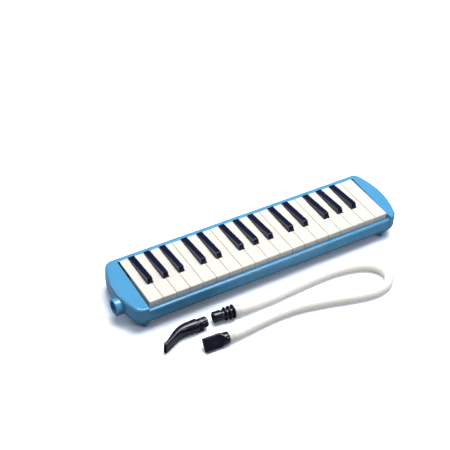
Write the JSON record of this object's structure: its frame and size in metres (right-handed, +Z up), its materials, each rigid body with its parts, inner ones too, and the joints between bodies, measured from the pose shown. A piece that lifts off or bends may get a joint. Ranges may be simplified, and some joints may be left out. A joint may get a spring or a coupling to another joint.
{
  "type": "melodica",
  "caption": "Free-reed wind keyboard: sprung keys lift pads over a reed chest fed by a blow socket, with a short beak mouthpiece and a hose mouthpiece.",
  "frame": {"origin": "on the table, under the middle of the keyboard", "axes": "+X along the keyboard to the treble end, +Y to the rear, +Z up"},
  "size_m": [0.4491, 0.1975, 0.0508],
  "materials": {
    "casing_blue": "gloss",
    "key_ivory": "satin",
    "key_black": "gloss",
    "mouthpiece_black": "gloss",
    "inner_grey": "matte",
    "steel": "satin",
    "reed_brass": "satin",
    "reed_plate_metal": "satin",
    "felt": "matte",
    "seal_rubber": "matte",
    "hose_pvc": "satin"
  },
  "bodies": {
    "casing": {"upper_casing": "casing_blue", "lower_casing": "casing_blue", "blow_socket": "casing_blue", "air_duct": "inner_grey", "wind_chest": "inner_grey", "chest_cover": "inner_grey", "chest_gasket": "seal_rubber", "chest_screws": "steel", "casing_screws": "steel", "reed_plate_bass": "reed_plate_metal", "reed_plate_treble": "reed_plate_metal", "reeds": "reed_brass", "reed_rivets": "reed_brass", "reed_plate_screws": "steel", "pivot_rod": "steel", "key_springs": "steel", "key_guides": "inner_grey", "front_felt": "felt", "drain_spring": "steel"},
    "drain_valve": {"drain_button": "mouthpiece_black", "drain_seal": "seal_rubber"},
    "mouthpiece": {"mouthpiece": "mouthpiece_black"},
    "hose_set": {"hose_connector": "mouthpiece_black", "hose": "hose_pvc", "hose_mouthpiece": "mouthpiece_black"},
    "white_key_01": {"white_key_01": "key_ivory"},
    "black_key_01": {"black_key_01": "key_black"},
    "white_key_02": {"white_key_02": "key_ivory"},
    "black_key_02": {"black_key_02": "key_black"},
    "white_key_03": {"white_key_03": "key_ivory"},
    "black_key_03": {"black_key_03": "key_black"},
    "white_key_04": {"white_key_04": "key_ivory"},
    "white_key_05": {"white_key_05": "key_ivory"},
    "black_key_04": {"black_key_04": "key_black"},
    "white_key_06": {"white_key_06": "key_ivory"},
    "black_key_05": {"black_key_05": "key_black"},
    "white_key_07": {"white_key_07": "key_ivory"},
    "white_key_08": {"white_key_08": "key_ivory"},
    "black_key_06": {"black_key_06": "key_black"},
    "white_key_09": {"white_key_09": "key_ivory"},
    "black_key_07": {"black_key_07": "key_black"},
    "white_key_10": {"white_key_10": "key_ivory"},
    "black_key_08": {"black_key_08": "key_black"},
    "white_key_11": {"white_key_11": "key_ivory"},
    "white_key_12": {"white_key_12": "key_ivory"},
    "black_key_09": {"black_key_09": "key_black"},
    "white_key_13": {"white_key_13": "key_ivory"},
    "black_key_10": {"black_key_10": "key_black"},
    "white_key_14": {"white_key_14": "key_ivory"},
    "white_key_15": {"white_key_15": "key_ivory"},
    "black_key_11": {"black_key_11": "key_black"},
    "white_key_16": {"white_key_16": "key_ivory"},
    "black_key_12": {"black_key_12": "key_black"},
    "white_key_17": {"white_key_17": "key_ivory"},
    "black_key_13": {"black_key_13": "key_black"},
    "white_key_18": {"white_key_18": "key_ivory"},
    "white_key_19": {"white_key_19": "key_ivory"}
  },
  "joints": [
    {"name": "white_key_01_press", "type": "hinge", "parent": "casing", "child": "white_key_01", "pos_m": [0, 0.024, 0.035], "axis": [1, 0, 0], "range_deg": [0, 3.3], "stiffness_Nm_per_rad": 0.25, "springref_deg": -11.46},
    {"name": "black_key_01_press", "type": "hinge", "parent": "casing", "child": "black_key_01", "pos_m": [0, 0.024, 0.035], "axis": [1, 0, 0], "range_deg": [0, 3.3], "stiffness_Nm_per_rad": 0.25, "springref_deg": -11.46},
    {"name": "white_key_02_press", "type": "hinge", "parent": "casing", "child": "white_key_02", "pos_m": [0, 0.024, 0.035], "axis": [1, 0, 0], "range_deg": [0, 3.3], "stiffness_Nm_per_rad": 0.25, "springref_deg": -11.46},
    {"name": "black_key_02_press", "type": "hinge", "parent": "casing", "child": "black_key_02", "pos_m": [0, 0.024, 0.035], "axis": [1, 0, 0], "range_deg": [0, 3.3], "stiffness_Nm_per_rad": 0.25, "springref_deg": -11.46},
    {"name": "white_key_03_press", "type": "hinge", "parent": "casing", "child": "white_key_03", "pos_m": [0, 0.024, 0.035], "axis": [1, 0, 0], "range_deg": [0, 3.3], "stiffness_Nm_per_rad": 0.25, "springref_deg": -11.46},
    {"name": "black_key_03_press", "type": "hinge", "parent": "casing", "child": "black_key_03", "pos_m": [0, 0.024, 0.035], "axis": [1, 0, 0], "range_deg": [0, 3.3], "stiffness_Nm_per_rad": 0.25, "springref_deg": -11.46},
    {"name": "white_key_04_press", "type": "hinge", "parent": "casing", "child": "white_key_04", "pos_m": [0, 0.024, 0.035], "axis": [1, 0, 0], "range_deg": [0, 3.3], "stiffness_Nm_per_rad": 0.25, "springref_deg": -11.46},
    {"name": "white_key_05_press", "type": "hinge", "parent": "casing", "child": "white_key_05", "pos_m": [0, 0.024, 0.035], "axis": [1, 0, 0], "range_deg": [0, 3.3], "stiffness_Nm_per_rad": 0.25, "springref_deg": -11.46},
    {"name": "black_key_04_press", "type": "hinge", "parent": "casing", "child": "black_key_04", "pos_m": [0, 0.024, 0.035], "axis": [1, 0, 0], "range_deg": [0, 3.3], "stiffness_Nm_per_rad": 0.25, "springref_deg": -11.46},
    {"name": "white_key_06_press", "type": "hinge", "parent": "casing", "child": "white_key_06", "pos_m": [0, 0.024, 0.035], "axis": [1, 0, 0], "range_deg": [0, 3.3], "stiffness_Nm_per_rad": 0.25, "springref_deg": -11.46},
    {"name": "black_key_05_press", "type": "hinge", "parent": "casing", "child": "black_key_05", "pos_m": [0, 0.024, 0.035], "axis": [1, 0, 0], "range_deg": [0, 3.3], "stiffness_Nm_per_rad": 0.25, "springref_deg": -11.46},
    {"name": "white_key_07_press", "type": "hinge", "parent": "casing", "child": "white_key_07", "pos_m": [0, 0.024, 0.035], "axis": [1, 0, 0], "range_deg": [0, 3.3], "stiffness_Nm_per_rad": 0.25, "springref_deg": -11.46},
    {"name": "white_key_08_press", "type": "hinge", "parent": "casing", "child": "white_key_08", "pos_m": [0, 0.024, 0.035], "axis": [1, 0, 0], "range_deg": [0, 3.3], "stiffness_Nm_per_rad": 0.25, "springref_deg": -11.46},
    {"name": "black_key_06_press", "type": "hinge", "parent": "casing", "child": "black_key_06", "pos_m": [0, 0.024, 0.035], "axis": [1, 0, 0], "range_deg": [0, 3.3], "stiffness_Nm_per_rad": 0.25, "springref_deg": -11.46},
    {"name": "white_key_09_press", "type": "hinge", "parent": "casing", "child": "white_key_09", "pos_m": [0, 0.024, 0.035], "axis": [1, 0, 0], "range_deg": [0, 3.3], "stiffness_Nm_per_rad": 0.25, "springref_deg": -11.46},
    {"name": "black_key_07_press", "type": "hinge", "parent": "casing", "child": "black_key_07", "pos_m": [0, 0.024, 0.035], "axis": [1, 0, 0], "range_deg": [0, 3.3], "stiffness_Nm_per_rad": 0.25, "springref_deg": -11.46},
    {"name": "white_key_10_press", "type": "hinge", "parent": "casing", "child": "white_key_10", "pos_m": [0, 0.024, 0.035], "axis": [1, 0, 0], "range_deg": [0, 3.3], "stiffness_Nm_per_rad": 0.25, "springref_deg": -11.46},
    {"name": "black_key_08_press", "type": "hinge", "parent": "casing", "child": "black_key_08", "pos_m": [0, 0.024, 0.035], "axis": [1, 0, 0], "range_deg": [0, 3.3], "stiffness_Nm_per_rad": 0.25, "springref_deg": -11.46},
    {"name": "white_key_11_press", "type": "hinge", "parent": "casing", "child": "white_key_11", "pos_m": [0, 0.024, 0.035], "axis": [1, 0, 0], "range_deg": [0, 3.3], "stiffness_Nm_per_rad": 0.25, "springref_deg": -11.46},
    {"name": "white_key_12_press", "type": "hinge", "parent": "casing", "child": "white_key_12", "pos_m": [0, 0.024, 0.035], "axis": [1, 0, 0], "range_deg": [0, 3.3], "stiffness_Nm_per_rad": 0.25, "springref_deg": -11.46},
    {"name": "black_key_09_press", "type": "hinge", "parent": "casing", "child": "black_key_09", "pos_m": [0, 0.024, 0.035], "axis": [1, 0, 0], "range_deg": [0, 3.3], "stiffness_Nm_per_rad": 0.25, "springref_deg": -11.46},
    {"name": "white_key_13_press", "type": "hinge", "parent": "casing", "child": "white_key_13", "pos_m": [0, 0.024, 0.035], "axis": [1, 0, 0], "range_deg": [0, 3.3], "stiffness_Nm_per_rad": 0.25, "springref_deg": -11.46},
    {"name": "black_key_10_press", "type": "hinge", "parent": "casing", "child": "black_key_10", "pos_m": [0, 0.024, 0.035], "axis": [1, 0, 0], "range_deg": [0, 3.3], "stiffness_Nm_per_rad": 0.25, "springref_deg": -11.46},
    {"name": "white_key_14_press", "type": "hinge", "parent": "casing", "child": "white_key_14", "pos_m": [0, 0.024, 0.035], "axis": [1, 0, 0], "range_deg": [0, 3.3], "stiffness_Nm_per_rad": 0.25, "springref_deg": -11.46},
    {"name": "white_key_15_press", "type": "hinge", "parent": "casing", "child": "white_key_15", "pos_m": [0, 0.024, 0.035], "axis": [1, 0, 0], "range_deg": [0, 3.3], "stiffness_Nm_per_rad": 0.25, "springref_deg": -11.46},
    {"name": "black_key_11_press", "type": "hinge", "parent": "casing", "child": "black_key_11", "pos_m": [0, 0.024, 0.035], "axis": [1, 0, 0], "range_deg": [0, 3.3], "stiffness_Nm_per_rad": 0.25, "springref_deg": -11.46},
    {"name": "white_key_16_press", "type": "hinge", "parent": "casing", "child": "white_key_16", "pos_m": [0, 0.024, 0.035], "axis": [1, 0, 0], "range_deg": [0, 3.3], "stiffness_Nm_per_rad": 0.25, "springref_deg": -11.46},
    {"name": "black_key_12_press", "type": "hinge", "parent": "casing", "child": "black_key_12", "pos_m": [0, 0.024, 0.035], "axis": [1, 0, 0], "range_deg": [0, 3.3], "stiffness_Nm_per_rad": 0.25, "springref_deg": -11.46},
    {"name": "white_key_17_press", "type": "hinge", "parent": "casing", "child": "white_key_17", "pos_m": [0, 0.024, 0.035], "axis": [1, 0, 0], "range_deg": [0, 3.3], "stiffness_Nm_per_rad": 0.25, "springref_deg": -11.46},
    {"name": "black_key_13_press", "type": "hinge", "parent": "casing", "child": "black_key_13", "pos_m": [0, 0.024, 0.035], "axis": [1, 0, 0], "range_deg": [0, 3.3], "stiffness_Nm_per_rad": 0.25, "springref_deg": -11.46},
    {"name": "white_key_18_press", "type": "hinge", "parent": "casing", "child": "white_key_18", "pos_m": [0, 0.024, 0.035], "axis": [1, 0, 0], "range_deg": [0, 3.3], "stiffness_Nm_per_rad": 0.25, "springref_deg": -11.46},
    {"name": "white_key_19_press", "type": "hinge", "parent": "casing", "child": "white_key_19", "pos_m": [0, 0.024, 0.035], "axis": [1, 0, 0], "range_deg": [0, 3.3], "stiffness_Nm_per_rad": 0.25, "springref_deg": -11.46},
    {"name": "drain_press", "type": "slide", "parent": "casing", "child": "drain_valve", "axis": [0, 0, 1], "range_m": [0, 0.002], "stiffness_N_per_m": 300, "springref_m": -0.004, "deforming": ["drain_spring"]},
    {"name": "mouthpiece_lift", "type": "slide", "parent": "casing", "child": "mouthpiece", "axis": [0, 0, 1], "range_m": [0, 0.12]},
    {"name": "hose_lift", "type": "slide", "parent": "casing", "child": "hose_set", "axis": [0, 0, 1], "range_m": [0, 0.12]}
  ]
}
